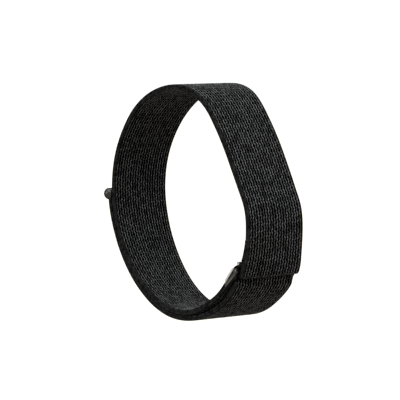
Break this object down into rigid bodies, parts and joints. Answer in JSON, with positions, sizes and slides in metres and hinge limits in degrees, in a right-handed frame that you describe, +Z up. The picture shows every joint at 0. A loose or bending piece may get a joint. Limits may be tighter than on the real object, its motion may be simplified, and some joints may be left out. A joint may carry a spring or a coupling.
{
  "type": "magnetic nylon watch strap",
  "caption": "Closed loop of black woven webbing, hemmed round one bar of a metal ring, threaded over its other bar and folded back as a magnetic tail that ends in a metal stop rod.",
  "frame": {"origin": "the middle of the space that the wrist fills, halfway across the strap's width", "axes": "+Z up as the strap is pictured, +Y along the width away from the viewer, +X towards the flat side that a tracker or watch sits against"},
  "size_m": [0.074, 0.0212, 0.0663],
  "materials": {
    "webbing_outer": "near-black woven nylon with grey zigzag ribs",
    "webbing_inner": "near-black woven nylon, skin side",
    "spacer": "black spacer felt",
    "magnet": "nickel plated magnet plate",
    "ring_metal": "polished gunmetal steel",
    "pin_metal": "bright steel pin",
    "rod_metal": "satin gunmetal steel"
  },
  "bodies": {
    "loop": {"band_outer_ply": "webbing_outer", "band_inner_ply": "webbing_inner", "band_core": "spacer", "band_magnets": "magnet", "hem_wrap": "webbing_outer", "hem_keeper_pin": "pin_metal"},
    "buckle": {"buckle_frame": "ring_metal", "buckle_hem_bar": "ring_metal", "buckle_pin_heads": "ring_metal", "tail_fold": "webbing_outer"},
    "tail_1": {"tail_1_outer_ply": "webbing_outer", "tail_1_inner_ply": "webbing_inner", "tail_1_magnet": "magnet"},
    "tail_2": {"tail_2_outer_ply": "webbing_outer", "tail_2_inner_ply": "webbing_inner", "tail_2_magnet": "magnet"},
    "tail_3": {"tail_3_outer_ply": "webbing_outer", "tail_3_inner_ply": "webbing_inner", "tail_3_magnet": "magnet"},
    "tail_4": {"tail_4_outer_ply": "webbing_outer", "tail_4_inner_ply": "webbing_inner", "tail_4_magnet": "magnet"},
    "tail_5": {"tail_5_outer_ply": "webbing_outer", "tail_5_inner_ply": "webbing_inner", "tail_5_magnet": "magnet", "end_rod": "rod_metal", "end_rod_caps": "rod_metal"}
  },
  "joints": [
    {"name": "buckle_swing", "type": "hinge", "parent": "loop", "child": "buckle", "pos_m": [0.02935, 0, -0.0188], "axis": [0, -1, 0], "range_deg": [0, 20]},
    {"name": "tail_1_flex", "type": "hinge", "parent": "buckle", "child": "tail_1", "pos_m": [0.02252, 0, -0.02867], "axis": [0, -1, 0], "range_deg": [0, 40]},
    {"name": "tail_2_flex", "type": "hinge", "parent": "tail_1", "child": "tail_2", "pos_m": [0.0092, 0, -0.03427], "axis": [0, -1, 0], "range_deg": [0, 30]},
    {"name": "tail_3_flex", "type": "hinge", "parent": "tail_2", "child": "tail_3", "pos_m": [-0.00471, 0, -0.03516], "axis": [0, -1, 0], "range_deg": [0, 30]},
    {"name": "tail_4_flex", "type": "hinge", "parent": "tail_3", "child": "tail_4", "pos_m": [-0.01824, 0, -0.03147], "axis": [0, -1, 0], "range_deg": [0, 30]},
    {"name": "tail_5_flex", "type": "hinge", "parent": "tail_4", "child": "tail_5", "pos_m": [-0.02917, 0, -0.02262], "axis": [0, -1, 0], "range_deg": [0, 30]}
  ]
}
